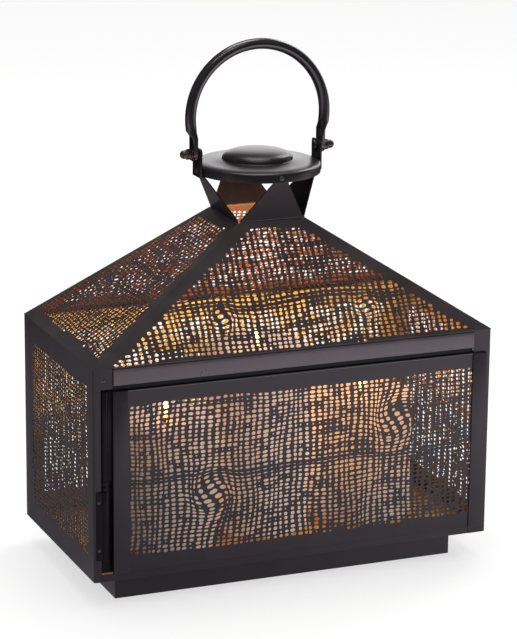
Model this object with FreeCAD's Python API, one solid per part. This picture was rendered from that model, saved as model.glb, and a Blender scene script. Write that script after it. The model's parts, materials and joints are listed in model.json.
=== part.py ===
import FreeCAD, Part
import math
import os

# A house-shaped lantern of thin blackened sheet, in millimetres. X runs along the front, Y from front to back
# and Z up from the surface it stands on. Pieces are drawn about the middle of the body and moved by bodyShift
# at the end, so that the origin lies under the middle of the whole object, with the door that stands proud.

Vector = FreeCAD.Vector
xAxis = Vector(1, 0, 0)
yAxis = Vector(0, 1, 0)
zAxis = Vector(0, 0, 1)

# Body
bodyWidth = 310.0
bodyDepth = 159.2
bodyHeight = 158.0
sheet = 1.0
frontFlange = 14.5
backFlange = 14.6
panelBorder = 15.0
wallLip = 6.0
seamGap = 0.2
joggleLap = 6.0
overrun = 1.0

# Plinth
plinthHeight = 20.8
plinthInsetX = 21.5
plinthInsetY = 17.3
plinthLip = 8.0

# Floor pan and the strip over the door
sillHeight = 5.5
headerHeight = 12.7
headerStandoff = 0.5
headerLegGap = 1.2
doorStopLap = 5.0

# Punched windows
windowPitch = 12.0
windowSize = 8.0

# Door
doorLeftInset = 14.0
doorRightInset = 4.0
doorHeadGap = 4.3
doorFootGap = 0.3
doorStandoff = 0.3
doorRail = 12.0
stileWidth = 11.3

# Hinge
hingeNotch = 9.0
hingePinX = 8.4
hingePinRadius = 1.5
hingeBarrelRadius = 2.2
runningClearance = 0.05
pressClearance = 0.01
hingeUpperLength = 65.5
hingeAboveSill = 11.2
hingeHeadroom = 1.7
hingeRecessGap = 0.5
hingeRecessReach = 16.0
hingeLeaf = 0.8
hingeWasherThickness = 3.4
hingeWasherRadius = 2.3
hingeWasherGap = 0.3
doorLeafReach = 15.0
postLeafReach = 7.0
pinHeadRadius = 2.2
pinHeadHeight = 1.2

# Rivets
rivetRadius = 1.2
rivetHeadRadius = 1.9
rivetHeadHeight = 0.8
rivetTailHeight = 0.6
rivetTailShare = 0.9
leafRivetRadius = 0.8
leafRivetHeadRadius = 1.3
leafRivetHeadHeight = 0.5
leafRivetShares = (0.15, 0.85)
headerRivetDrop = 8.6

# Hidden magnet that holds the door
magnetWidth = 10.0
magnetThickness = 3.0
magnetHeight = 24.0
magnetRise = 56.0

# Roof and neck
roofRise = 83.4
roofTopWidth = 52.0
roofTopDepth = 56.0
roofBorder = 11.0
roofFrontBorder = 3.0
petalRise = 30.6
petalTipWidth = 12.0
petalTabHeight = 7.0
petalRelief = 1.5

# Cap
capRadius = 46.2
capSkirt = 8.0
capEdgeRadius = 2.4
capCrown = 0.8
domeRadius = 26.0
domeHeight = 7.6
domeCrown = 2.0
domeShoulder = 5.2
domeFoot = 1.6
capRivetRise = 3.0
capAboveRoof = 31.1
capTabClearance = 0.1

# Ears at the cap
earWidth = 16.0
earThickness = 1.5
earAbovePivot = 4.6
earCorner = 3.0
earFootDrop = 1.4
pivotAboveSkirt = 15.6
capEarGap = 0.05

# Bail handle
barRadius = 4.0
bailBend = 52.5
bailBendRise = 25.3
barEndRise = 17.5
paddleRise = 12.0
paddleWidth = 10.4
paddleThickness = 3.0
paddleTravelGap = 0.1

# Bail bolts, washers and nuts
boltRadius = 2.0
boltHeadRadius = 3.5
boltHeadHeight = 2.0
innerWasherThickness = 0.6
outerWasherThickness = 1.0
washerRadius = 4.4
nutHexRadius = 4.0
nutHexHeight = 3.2
nutDomeRadius = 3.2
nutWall = 1.6

# Candles
candleRadius = 39.2
smallCandleHeight = 95.0
tallCandleHeight = 139.0
candleRim = 2.5
meltPoolRadius = 30.0
meltPoolDepth = 4.5
candleMiddleX = 1.5
leftCandleGap = 0.4
leftCandleTurn = 8.3
rightCandleGap = 6.6
wickRadius = 1.1
wickStandout = 8.0
wickSeat = 30.0
wickClearance = 0.05
flameRadius = 3.4
flameHeight = 14.0
flameLift = 3.0

# Heights and faces that several pieces share
halfWidth = bodyWidth / 2
halfDepth = bodyDepth / 2
floorLevel = plinthHeight
eaveLevel = plinthHeight + bodyHeight
roofTopLevel = eaveLevel + roofRise
skirtLevel = roofTopLevel + capAboveRoof
pivotLevel = skirtLevel + pivotAboveSkirt
sillLevel = floorLevel + sillHeight
headerFoot = eaveLevel - headerHeight
doorFoot = sillLevel + doorFootGap
doorHead = headerFoot - doorHeadGap
hingeHead = doorHead + seamGap
headerLegFoot = hingeHead + headerLegGap
doorLeft = -halfWidth + doorLeftInset
doorRight = halfWidth - doorRightInset
doorBack = -halfDepth - doorStandoff
doorStandout = doorStandoff + 2 * sheet
bodyShift = Vector(0, doorStandout / 2, 0)
hingeX = -halfWidth + hingePinX
hingeY = -halfDepth
innerX = halfWidth - sheet
innerY = halfDepth - sheet
earInner = capRadius + capEarGap
earOuter = earInner + earThickness
paddleInner = earOuter + innerWasherThickness + paddleTravelGap
paddleOuter = paddleInner + paddleThickness
outerWasherInner = paddleOuter + paddleTravelGap
nutInner = outerWasherInner + outerWasherThickness


def box(x0, x1, y0, y1, z0, z1):
    return Part.makeBox(x1 - x0, y1 - y0, z1 - z0, Vector(x0, y0, z0))


def loopFace(points):
    return Part.Face(Part.makePolygon(points + points[:1]))


def block(lower, upper):
    """Closed solid between two four-cornered loops whose corners run in the same order."""
    faces = [loopFace(lower), loopFace(upper)]
    for i in range(4):
        j = (i + 1) % 4
        faces.append(loopFace([lower[i], lower[j], upper[j], upper[i]]))
    solid = Part.makeSolid(Part.makeShell(faces))
    if solid.Volume < 0:
        solid.reverse()
    return solid


def rod(radius, start, end):
    line = end - start
    return Part.makeCylinder(radius, line.Length, start, line)


def throughHole(point, radius):
    """Cutter for a rivet that goes front to back through two or three sheets beside point."""
    return rod(radius + pressClearance, point - yAxis * 2 * sheet, point + yAxis * (2 * sheet + overrun))


def tube(outer, inner, start, end):
    return rod(outer, start, end).cut(rod(inner, start, end))


def rectangle(u0, u1, v0, v1):
    return [(u0, v0), (u1, v0), (u1, v1), (u0, v1)]


def windowRows(width0, width1, low, high):
    """Corners (u, v) of square windows in a panel, usable from width0 wide at low to width1 wide at high."""
    count = int((high - low) // windowPitch)
    first = (low + high - (count - 1) * windowPitch) / 2
    rows = []
    for row in range(count):
        v = first + row * windowPitch
        half = windowSize / 2
        widths = [width0 + (width1 - width0) * (edge - low) / (high - low) for edge in (v - half, v + half)]
        columns = int((min(widths) - windowSize) // windowPitch) + 1 if min(widths) > windowSize else 0
        for column in range(columns):
            u = (column - (columns - 1) / 2) * windowPitch
            rows.append(rectangle(u - half, u + half, v - half, v + half))
    return rows


def punchedSheet(origin, across, up, outline, windows):
    """Sheet with its outer face through origin, its windows cut, and its thickness on the inner side."""
    outward = across.cross(up)

    def loop(corners):
        points = [origin + across * u + up * v for u, v in corners]
        return Part.makePolygon(points + points[:1])

    wires = [loop(outline)] + [loop(corners[::-1]) for corners in windows]
    return Part.Face(wires).extrude(outward * -sheet)


def domedRivet(headBase, outward, grip, shank, headRadius, headHeight, tailHeight):
    """Round-headed rivet: its head stands on headBase and its tail is set on the far side of the grip."""
    ball = (headRadius ** 2 + headHeight ** 2) / (2 * headHeight)
    centre = headBase - outward * (ball - headHeight)
    keep = rod(headRadius + overrun, headBase, headBase + outward * ball)
    head = Part.makeSphere(ball, centre).common(keep)
    tailBase = headBase - outward * grip
    tail = rod(headRadius * rivetTailShare, tailBase - outward * tailHeight, tailBase)
    return head.fuse([rod(shank, tailBase - outward * tailHeight, headBase), tail]).removeSplitter()


def plinth():
    x, y = halfWidth - plinthInsetX, halfDepth - plinthInsetY
    ring = box(-x, x, -y, y, 0, plinthHeight)
    channel = box(-x + sheet, x - sheet, -y + sheet, y - sheet, sheet, plinthHeight - sheet)
    through = box(-x + plinthLip, x - plinthLip, -y + plinthLip, y - plinthLip, 0, plinthHeight)
    return ring.cut(channel).cut(through)


def floorPan():
    plate = box(-innerX, innerX, -innerY, innerY, floorLevel, floorLevel + sheet)
    sillLeft = -halfWidth + frontFlange - hingeNotch + seamGap
    sillRight = halfWidth - frontFlange - seamGap
    sill = box(sillLeft, sillRight, -halfDepth, -innerY, floorLevel, sillLevel)
    edges = []
    for side in (-1, 1):
        near, far = sorted((side * innerX, side * (innerX - sheet)))
        edges.append(box(near, far, -innerY + sheet, innerY, floorLevel, sillLevel))
    edges.append(box(-innerX, innerX, innerY - sheet, innerY, floorLevel, sillLevel))
    return plate.fuse([sill] + edges).removeSplitter()


def sidePanel(side):
    """Punched wall, folded round the front corner, with a lip under the roof and a lap at the rear. The left one
    also has a strip set back behind the hinge, which closes the notch that the barrels need."""
    width = bodyDepth - backFlange - seamGap
    border = panelBorder
    windows = windowRows(width - 2 * border, width - 2 * border, border, bodyHeight - border)
    middle = -(backFlange + seamGap) / 2
    across = Vector(0, side, 0)
    outline = rectangle(-width / 2, width / 2, 0, bodyHeight)
    wall = punchedSheet(Vector(side * halfWidth, middle, floorLevel), across, zAxis, outline, windows)
    rear = halfDepth - backFlange - seamGap

    def sideBox(depth0, depth1, y0, y1, z0, z1):
        x0, x1 = sorted((side * (halfWidth - depth0), side * (halfWidth - depth1)))
        return box(x0, x1, y0, y1, z0, z1)

    flange = sideBox(0, frontFlange, -halfDepth, -innerY, floorLevel, eaveLevel)
    lip = sideBox(0, wallLip, -innerY + sheet, rear, eaveLevel - sheet, eaveLevel)
    lap = sideBox(sheet, 2 * sheet, rear - joggleLap, innerY - sheet,
                  sillLevel + sheet, eaveLevel - 2 * sheet)
    if side < 0:
        notchTop = doorHead + hingeHeadroom
        cuts = [sideBox(frontFlange - hingeNotch, frontFlange + overrun, -halfDepth - overrun, -innerY,
                        floorLevel - overrun, notchTop),
                throughHole(headerRivetPoint(), rivetRadius)]
        cuts += [throughHole(point, leafRivetRadius) for point in postRivetPoints()]
        recessFace = -halfDepth + hingeBarrelRadius + hingeRecessGap
        recess = sideBox(0, hingeRecessReach, recessFace, recessFace + sheet, sillLevel + seamGap, notchTop)
        flange = flange.cut(cuts).fuse(recess)
    return wall.fuse([flange, lip, lap])


def backPanel():
    border = panelBorder
    usable = bodyWidth - 2 * (backFlange + border / 2)
    windows = windowRows(usable, usable, border, bodyHeight - border)
    outline = rectangle(-halfWidth, halfWidth, 0, bodyHeight)
    wall = punchedSheet(Vector(0, halfDepth, floorLevel), Vector(-1, 0, 0), zAxis, outline, windows)
    folds = []
    for side in (-1, 1):
        near, far = sorted((side * halfWidth, side * innerX))
        folds.append(box(near, far, halfDepth - backFlange, halfDepth, floorLevel, eaveLevel))
    lip = box(-innerX + wallLip, innerX - wallLip, halfDepth - wallLip, innerY, eaveLevel - sheet, eaveLevel)
    return wall.fuse(folds + [lip])


def headerRivetPoint():
    return Vector(-halfWidth + frontFlange / 2, -halfDepth, eaveLevel - headerRivetDrop)


def frontHeader():
    """Inverted channel hung over the opening: a proud front leg, a web under the roof and an inner leg, which
    reaches down behind the door's head to stop it, beside the hinge."""
    reach = halfWidth - frontFlange - seamGap
    face = -halfDepth - headerStandoff - sheet
    front = box(-reach, reach, face, face + sheet, headerFoot, eaveLevel)
    web = box(-reach, reach, face, -innerY + sheet, eaveLevel - sheet, eaveLevel)
    legReach = innerX - sheet
    leg = box(-legReach, legReach, -innerY, -innerY + sheet, headerLegFoot, eaveLevel)
    stopLeft = hingeX + hingeBarrelRadius + headerLegGap
    stop = box(stopLeft, legReach, -innerY, -innerY + sheet, doorHead - doorStopLap, eaveLevel)
    return front.fuse([web, leg, stop]).cut(throughHole(headerRivetPoint(), rivetRadius)).removeSplitter()


def headerRivet():
    return domedRivet(headerRivetPoint(), -yAxis, 2 * sheet, rivetRadius, rivetHeadRadius, rivetHeadHeight,
                      rivetTailHeight)


def petalTabFace():
    return math.sqrt((capRadius - sheet - capTabClearance) ** 2 - (petalTipWidth / 2) ** 2)


def roofPanel(turn):
    """Hip panel with its neck petal. turn counts quarter turns: 0 front, 1 right, 2 back, 3 left."""
    if turn % 2 == 0:
        eaveHalf, eaveReach, topHalf, topReach = halfWidth, halfDepth, roofTopWidth / 2, roofTopDepth / 2
    else:
        eaveHalf, eaveReach, topHalf, topReach = halfDepth, halfWidth, roofTopDepth / 2, roofTopWidth / 2
    run = eaveReach - topReach
    slope = math.hypot(run, roofRise)
    sideRun = eaveHalf - topHalf
    inFront = sheet * slope / roofRise
    inSide = sheet * math.hypot(sideRun, roofRise) / roofRise
    lower = [Vector(-eaveHalf, -eaveReach, eaveLevel), Vector(eaveHalf, -eaveReach, eaveLevel),
             Vector(eaveHalf - inSide, -eaveReach + inFront, eaveLevel),
             Vector(-eaveHalf + inSide, -eaveReach + inFront, eaveLevel)]
    upper = [Vector(-topHalf, -topReach, roofTopLevel), Vector(topHalf, -topReach, roofTopLevel),
             Vector(topHalf - inSide, -topReach + inFront, roofTopLevel),
             Vector(-topHalf + inSide, -topReach + inFront, roofTopLevel)]
    foot = roofFrontBorder if turn == 0 else roofBorder
    hipBorder = 2 * roofBorder * math.hypot(slope, sideRun) / slope
    low, high = foot, slope - roofBorder

    def usable(height):
        return 2 * (eaveHalf - sideRun * height / slope) - hipBorder

    windows = windowRows(usable(low), usable(high), low, high)
    up = Vector(0, run / slope, roofRise / slope)
    outline = [(-eaveHalf, 0), (eaveHalf, 0), (topHalf, slope), (-topHalf, slope)]
    panel = punchedSheet(Vector(0, -eaveReach, eaveLevel), xAxis, up, outline, windows)
    panel = panel.common(block(lower, upper))
    tabFace = petalTabFace()
    tipLevel = roofTopLevel + petalRise
    inPetal = sheet * math.hypot(tabFace - topReach, petalRise) / petalRise
    base, tip = topHalf - petalRelief, petalTipWidth / 2
    petalFoot = [Vector(x, y, roofTopLevel) for x, y in rectangle(-base, base, -topReach, -topReach + inPetal)]
    petalHead = [Vector(x, y, tipLevel) for x, y in rectangle(-tip, tip, -tabFace, -tabFace + inPetal)]
    petal = block(petalFoot, petalHead)
    tab = box(-tip, tip, -tabFace, -tabFace + sheet, tipLevel, tipLevel + petalTabHeight)
    fold = box(-base, base, -topReach, -topReach + sheet / 2,
               roofTopLevel - sheet / 2, roofTopLevel + sheet / 2)
    hole = rod(rivetRadius + pressClearance, Vector(0, -capRadius, capRivetLevel()),
               Vector(0, -topReach, capRivetLevel()))
    return panel.fuse([fold, petal, tab.cut(hole)]).rotate(Vector(), zAxis, turn * 90)


def capRivetLevel():
    return skirtLevel + capRivetRise


def capOutline(inset):
    """Half section of the lid from its axis out to the skirt's foot, drawn inset inside the outer face."""
    top = skirtLevel + capSkirt - inset
    rim = capRadius - inset
    edge = capEdgeRadius - inset
    crown = top + capCrown
    dome = domeRadius - inset
    shoulder = dome - domeShoulder
    domeSide = crown + domeHeight - domeCrown
    domeTop = domeSide + domeCrown
    wallRise = domeSide - crown - domeFoot
    skirt = Part.LineSegment(Vector(rim, 0, skirtLevel), Vector(rim, 0, top - edge))
    turn = math.sqrt(0.5)
    rolled = Part.Arc(Vector(rim, 0, top - edge), Vector(rim - edge * (1 - turn), 0, top - edge * (1 - turn)),
                      Vector(rim - edge, 0, top))
    brim = Part.LineSegment(Vector(rim - edge, 0, top), Vector(dome + domeFoot, 0, crown))
    foot = Part.Arc(Vector(dome + domeFoot, 0, crown),
                    Vector(dome + domeFoot * (1 - turn), 0, crown + domeFoot * (1 - turn)),
                    Vector(dome, 0, crown + domeFoot))
    wall = Part.Arc(Vector(dome, 0, crown + domeFoot),
                    Vector(dome - domeShoulder * (1 - turn), 0, domeSide - wallRise * (1 - turn)),
                    Vector(shoulder, 0, domeSide))
    ball = (shoulder ** 2 + domeCrown ** 2) / (2 * domeCrown)
    halfTurn = math.asin(shoulder / ball) / 2
    swell = Part.Arc(Vector(shoulder, 0, domeSide),
                     Vector(ball * math.sin(halfTurn), 0, domeTop - ball * (1 - math.cos(halfTurn))),
                     Vector(0, 0, domeTop))
    axis = Part.LineSegment(Vector(0, 0, domeTop), Vector(0, 0, skirtLevel))
    close = Part.LineSegment(Vector(0, 0, skirtLevel), Vector(rim, 0, skirtLevel))
    edges = [curve.toShape() for curve in (skirt, rolled, brim, foot, wall, swell, axis, close)]
    return Part.Face(Part.Wire(edges)).revolve(Vector(), zAxis, 360)


def cap():
    lid = capOutline(0).cut(capOutline(sheet))
    level = capRivetLevel()
    for turn in range(4):
        hole = rod(rivetRadius + pressClearance, Vector(capRadius - 2 * sheet, 0, level),
                   Vector(capRadius + overrun, 0, level))
        lid = lid.cut(hole.rotate(Vector(), zAxis, turn * 90))
    return lid


def capRivets():
    """Four rivets through skirt and petal tabs; the two at the sides also go through the ears."""
    level = capRivetLevel()
    inner = petalTabFace() - sheet
    rivets = []
    for turn in range(4):
        seat = earOuter if turn % 2 == 0 else capRadius
        rivet = domedRivet(Vector(seat, 0, level), xAxis, seat - inner, rivetRadius, rivetHeadRadius,
                           rivetHeadHeight, rivetTailHeight)
        rivets.append(rivet.rotate(Vector(), zAxis, turn * 90))
    return Part.makeCompound(rivets)


def ear(side):
    """Strap that stands up outside the rim, with its foot folded in under the skirt."""
    top = pivotLevel + earAbovePivot
    strap = box(earInner, earOuter, -earWidth / 2, earWidth / 2, skirtLevel - earFootDrop, top)
    corners = [edge for edge in strap.Edges
               if abs(edge.Vertexes[0].Z - top) < seamGap and abs(edge.Vertexes[1].Z - top) < seamGap
               and abs(edge.Vertexes[0].Y - edge.Vertexes[1].Y) < seamGap]
    strap = strap.makeFillet(earCorner, corners)
    foot = box(petalTabFace() + capTabClearance, earOuter, -earWidth / 2, earWidth / 2,
               skirtLevel - earFootDrop, skirtLevel)
    pivotHole = rod(boltRadius + runningClearance, Vector(earInner - overrun, 0, pivotLevel),
                    Vector(earOuter + overrun, 0, pivotLevel))
    rivetHole = rod(rivetRadius + pressClearance, Vector(earInner - overrun, 0, capRivetLevel()),
                    Vector(earOuter + overrun, 0, capRivetLevel()))
    strap = strap.fuse(foot).cut(pivotHole).cut(rivetHole)
    return strap if side > 0 else strap.rotate(Vector(), zAxis, 180)


def bothSides(makeRight):
    """The piece that makeRight makes at the right pivot and the same one at the left, as separate solids."""
    return Part.makeCompound([makeRight(), makeRight().rotate(Vector(), zAxis, 180)])


def bailBolt():
    seat = Vector(earInner, 0, pivotLevel)
    nutEnd = nutInner + nutHexHeight + nutWall
    head = rod(boltHeadRadius, seat - xAxis * boltHeadHeight, seat)
    return head.fuse(rod(boltRadius, seat, Vector(nutEnd, 0, pivotLevel))).removeSplitter()


def bailWasherPair():
    bore = boltRadius + runningClearance
    inner = tube(washerRadius, bore, Vector(earOuter, 0, pivotLevel),
                 Vector(earOuter + innerWasherThickness, 0, pivotLevel))
    outer = tube(washerRadius, bore, Vector(outerWasherInner, 0, pivotLevel), Vector(nutInner, 0, pivotLevel))
    return Part.makeCompound([inner, outer])


def acornNut():
    corners = []
    for step in range(6):
        angle = math.radians(60 * step + 30)
        corners.append(Vector(nutInner, nutHexRadius * math.cos(angle),
                              pivotLevel + nutHexRadius * math.sin(angle)))
    hexagon = loopFace(corners).extrude(xAxis * nutHexHeight)
    neckEnd = nutInner + nutHexHeight + nutWall
    neck = rod(nutDomeRadius, Vector(nutInner, 0, pivotLevel), Vector(neckEnd, 0, pivotLevel))
    dome = Part.makeSphere(nutDomeRadius, Vector(neckEnd, 0, pivotLevel))
    thread = rod(boltRadius + pressClearance, Vector(nutInner - overrun, 0, pivotLevel),
                 Vector(neckEnd, 0, pivotLevel))
    return hexagon.fuse([neck, dome]).cut(thread).removeSplitter()


def bailEnd():
    """Flattened, drilled end of the right arm and the stretch where the round bar turns into it."""
    centreX = (paddleInner + paddleOuter) / 2
    flatTop = pivotLevel + paddleRise
    flat = box(paddleInner, paddleOuter, -paddleWidth / 2, paddleWidth / 2, pivotLevel, flatTop)
    tip = rod(paddleWidth / 2, Vector(paddleInner, 0, pivotLevel), Vector(paddleOuter, 0, pivotLevel))
    drop = bailBendRise - barEndRise
    lean = math.asin(drop / bailBend)
    barCentre = Vector(bailBend * math.cos(lean), 0, pivotLevel + barEndRise)
    tangent = Vector(math.sin(lean), 0, math.cos(lean))
    across = tangent.cross(yAxis)
    ring = []
    for step in range(4):
        points = []
        for angle in (45, 90, 135):
            turn = math.radians(angle + 90 * step)
            points.append(barCentre + (yAxis * math.sin(turn) - across * math.cos(turn)) * barRadius)
        ring.append(Part.Arc(*points).toShape())
    half = paddleThickness / 2
    wide = paddleWidth / 2
    corners = [Vector(centreX + half, wide, flatTop), Vector(centreX - half, wide, flatTop),
               Vector(centreX - half, -wide, flatTop), Vector(centreX + half, -wide, flatTop)]
    sides = [Part.makeLine(corners[i], corners[(i + 1) % 4]) for i in range(4)]
    neck = Part.makeLoft([Part.Wire(ring), Part.Wire(sides)], True, True)
    hole = rod(boltRadius + 2 * runningClearance, Vector(paddleInner - overrun, 0, pivotLevel),
               Vector(paddleOuter + overrun, 0, pivotLevel))
    return flat.fuse([tip, neck]).cut(hole)


def bailHandle():
    centre = Vector(0, 0, pivotLevel + bailBendRise)
    lean = math.asin((bailBendRise - barEndRise) / bailBend)
    barEnd = Vector(bailBend * math.cos(lean), 0, pivotLevel + barEndRise)
    section = Part.makeCircle(barRadius, barEnd, Vector(math.sin(lean), 0, math.cos(lean)))
    bar = Part.Face(Part.Wire(section)).revolve(centre, -yAxis, 180 + 2 * math.degrees(lean))
    rightEnd = bailEnd()
    leftEnd = bailEnd().rotate(Vector(), zAxis, 180)
    return bar.fuse([rightEnd, leftEnd]).removeSplitter()


def doorScreen():
    """Punched door sheet between its side strips, with a solid rail at the top and at the foot."""
    left, right = doorLeft + sheet, doorRight - sheet
    first, last = doorLeft + stileWidth, doorRight - stileWidth
    middle = (first + last) / 2
    height = doorHead - doorFoot
    windows = windowRows(last - first, last - first, doorRail, height - doorRail)
    outline = rectangle(left - middle, right - middle, 0, height)
    panel = punchedSheet(Vector(middle, doorBack - sheet, doorFoot), xAxis, zAxis, outline, windows)
    return panel.cut([throughHole(point, leafRivetRadius) for point in doorRivetPoints()])


def doorStile(edge, side):
    """Strip over the door sheet, turned back round its free edge. edge is the door's edge on that side."""
    face = doorBack - 2 * sheet
    strip = box(*sorted((edge, edge - side * stileWidth)), face, doorBack - sheet, doorFoot, doorHead)
    fold = box(*sorted((edge, edge - side * sheet)), face, doorBack, doorFoot, doorHead)
    return strip.fuse(fold).removeSplitter()


def hingeLevels():
    """Lower and upper ends of the two barrels: lower foot, lower head, upper foot, upper head."""
    upperFoot = hingeHead - hingeUpperLength
    lowerHead = upperFoot - 2 * hingeWasherThickness - 3 * hingeWasherGap
    return sillLevel + hingeAboveSill, lowerHead, upperFoot, hingeHead


def barrelWithLeaf(foot, head, leaf):
    start, end = Vector(hingeX, hingeY, foot), Vector(hingeX, hingeY, head)
    bore = rod(hingePinRadius + runningClearance, start - zAxis * overrun, end + zAxis * overrun)
    return rod(hingeBarrelRadius, start, end).fuse(leaf).cut(bore)


def doorRivetPoints():
    foot, head = hingeLevels()[2:]
    x = doorLeft + stileWidth / 2
    return [Vector(x, doorBack - sheet, foot + (head - foot) * share) for share in leafRivetShares]


def postRivetPoints():
    foot, head = hingeLevels()[:2]
    x = hingeX - (hingeBarrelRadius + postLeafReach) / 2
    return [Vector(x, -halfDepth, foot + (head - foot) * share) for share in leafRivetShares]


def hingeDoorLeaf():
    foot, head = hingeLevels()[2:]
    leaf = box(hingeX, hingeX + doorLeafReach, doorBack, doorBack + hingeLeaf, foot, head)
    holes = [throughHole(point, leafRivetRadius) for point in doorRivetPoints()]
    return barrelWithLeaf(foot, head, leaf).cut(holes)


def hingePostLeaf():
    foot, head = hingeLevels()[:2]
    leaf = box(hingeX - postLeafReach, hingeX, -halfDepth - hingeLeaf, -halfDepth, foot, head)
    holes = [throughHole(point, leafRivetRadius) for point in postRivetPoints()]
    return barrelWithLeaf(foot, head, leaf).cut(holes)


def doorLeafRivets():
    """Flush at the front, where the side strip covers them, with their heads on the leaf's inner face."""
    rivets = []
    for point in doorRivetPoints():
        headBase = Vector(point.x, doorBack + hingeLeaf, point.z)
        head = rod(leafRivetHeadRadius, headBase, headBase + yAxis * leafRivetHeadHeight)
        rivets.append(head.fuse(rod(leafRivetRadius, point, headBase)).removeSplitter())
    return Part.makeCompound(rivets)


def hingeLeafRivets():
    rivets = []
    for point in postRivetPoints():
        headBase = point - yAxis * hingeLeaf
        rivets.append(domedRivet(headBase, -yAxis, hingeLeaf + sheet, leafRivetRadius, leafRivetHeadRadius,
                                 leafRivetHeadHeight, rivetTailHeight))
    return Part.makeCompound(rivets)


def hingePin():
    foot = Vector(hingeX, hingeY, hingeLevels()[0])
    head = Vector(hingeX, hingeY, hingeLevels()[3])
    bottomHead = rod(pinHeadRadius, foot - zAxis * pinHeadHeight, foot)
    return rod(hingePinRadius, foot, head).fuse(bottomHead).removeSplitter()


def hingeWashers():
    level = hingeLevels()[1]
    washers = []
    for step in range(2):
        rise = hingeWasherGap + step * (hingeWasherThickness + hingeWasherGap)
        foot = Vector(hingeX, hingeY, level + rise)
        washers.append(tube(hingeWasherRadius, hingePinRadius + runningClearance, foot,
                            foot + zAxis * hingeWasherThickness))
    return Part.makeCompound(washers)


def doorMagnet():
    middle = halfWidth - (frontFlange + sheet) / 2
    return box(middle - magnetWidth / 2, middle + magnetWidth / 2, -innerY, -innerY + magnetThickness,
               floorLevel + magnetRise, floorLevel + magnetRise + magnetHeight)


def candlePlaces():
    """Foot centre and height of each candle. They stand loose on the pan, the left one a little forward."""
    turn = math.radians(leftCandleTurn)
    leftwards = Vector(-math.cos(turn), -math.sin(turn), 0)
    middle = Vector(candleMiddleX, 0, floorLevel + sheet)
    return {
        "left": (middle + leftwards * (2 * candleRadius + leftCandleGap), smallCandleHeight),
        "middle": (middle, tallCandleHeight),
        "right": (middle + xAxis * (2 * candleRadius + rightCandleGap), smallCandleHeight),
    }


def candle(base, height):
    """Wax pillar with a softened rim, a shallow melt pool and a hole for its wick."""
    wax = Part.makeCylinder(candleRadius, height, base)
    rim = [edge for edge in wax.Edges if edge.Closed and abs(edge.Vertexes[0].Z - base.z - height) < seamGap]
    wax = wax.makeFillet(candleRim, rim)
    top = base + zAxis * height
    ball = (meltPoolRadius ** 2 + meltPoolDepth ** 2) / (2 * meltPoolDepth)
    pool = Part.makeSphere(ball, top + zAxis * (ball - meltPoolDepth))
    hole = rod(wickRadius + wickClearance, top - zAxis * wickSeat, top)
    return wax.cut(pool).cut(hole)


def wickEnds(base, height):
    pool = base + zAxis * (height - meltPoolDepth)
    return base + zAxis * (height - wickSeat), pool + zAxis * wickStandout


def wick(base, height):
    foot, head = wickEnds(base, height)
    return rod(wickRadius, foot, head)


def flame(base, height):
    """Teardrop, a ball drawn up to a point, that closes round the top of the wick."""
    foot = base + zAxis * (height - meltPoolDepth + flameLift)
    centre = foot + zAxis * flameRadius
    reach = flameHeight - flameRadius
    rise = flameRadius ** 2 / reach
    waist = flameRadius * math.sqrt(1 - (flameRadius / reach) ** 2)
    point = Part.makeCone(waist, 0, reach - rise, centre + zAxis * rise)
    drop = Part.makeSphere(flameRadius, centre).fuse(point)
    wickFoot, wickHead = wickEnds(base, height)
    return drop.cut(rod(wickRadius + wickClearance, wickFoot, wickHead + zAxis * wickClearance))


def allPieces():
    pieces = {
        "plinth": plinth(),
        "floor_pan": floorPan(),
        "left_side_panel": sidePanel(-1),
        "right_side_panel": sidePanel(1),
        "back_panel": backPanel(),
        "front_header": frontHeader(),
        "header_rivet": headerRivet(),
        "cap": cap(),
        "cap_rivets": capRivets(),
        "ear_left": ear(-1),
        "ear_right": ear(1),
        "bail_bolts": bothSides(bailBolt),
        "bail_washers": bothSides(bailWasherPair),
        "acorn_nuts": bothSides(acornNut),
        "bail_handle": bailHandle(),
        "door_screen": doorScreen(),
        "door_left_stile": doorStile(doorLeft, -1),
        "door_right_stile": doorStile(doorRight, 1),
        "hinge_door_leaf": hingeDoorLeaf(),
        "hinge_post_leaf": hingePostLeaf(),
        "door_leaf_rivets": doorLeafRivets(),
        "hinge_leaf_rivets": hingeLeafRivets(),
        "hinge_pin": hingePin(),
        "hinge_washers": hingeWashers(),
        "door_magnet": doorMagnet(),
    }
    for turn, name in enumerate(("front", "right", "back", "left")):
        pieces["roof_" + name] = roofPanel(turn)
    for name, (base, height) in candlePlaces().items():
        pieces["candle_" + name] = candle(base, height)
        pieces["wick_" + name] = wick(base, height)
        pieces["flame_" + name] = flame(base, height)
    return pieces


os.makedirs("parts", exist_ok=True)
for node, shape in allPieces().items():
    shape.translate(bodyShift)
    shape.exportStep("parts/" + node + ".step")
    print(node, len(shape.Solids))
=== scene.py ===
import json
import math

import bmesh
import bpy
from mathutils import Matrix, Vector


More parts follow.
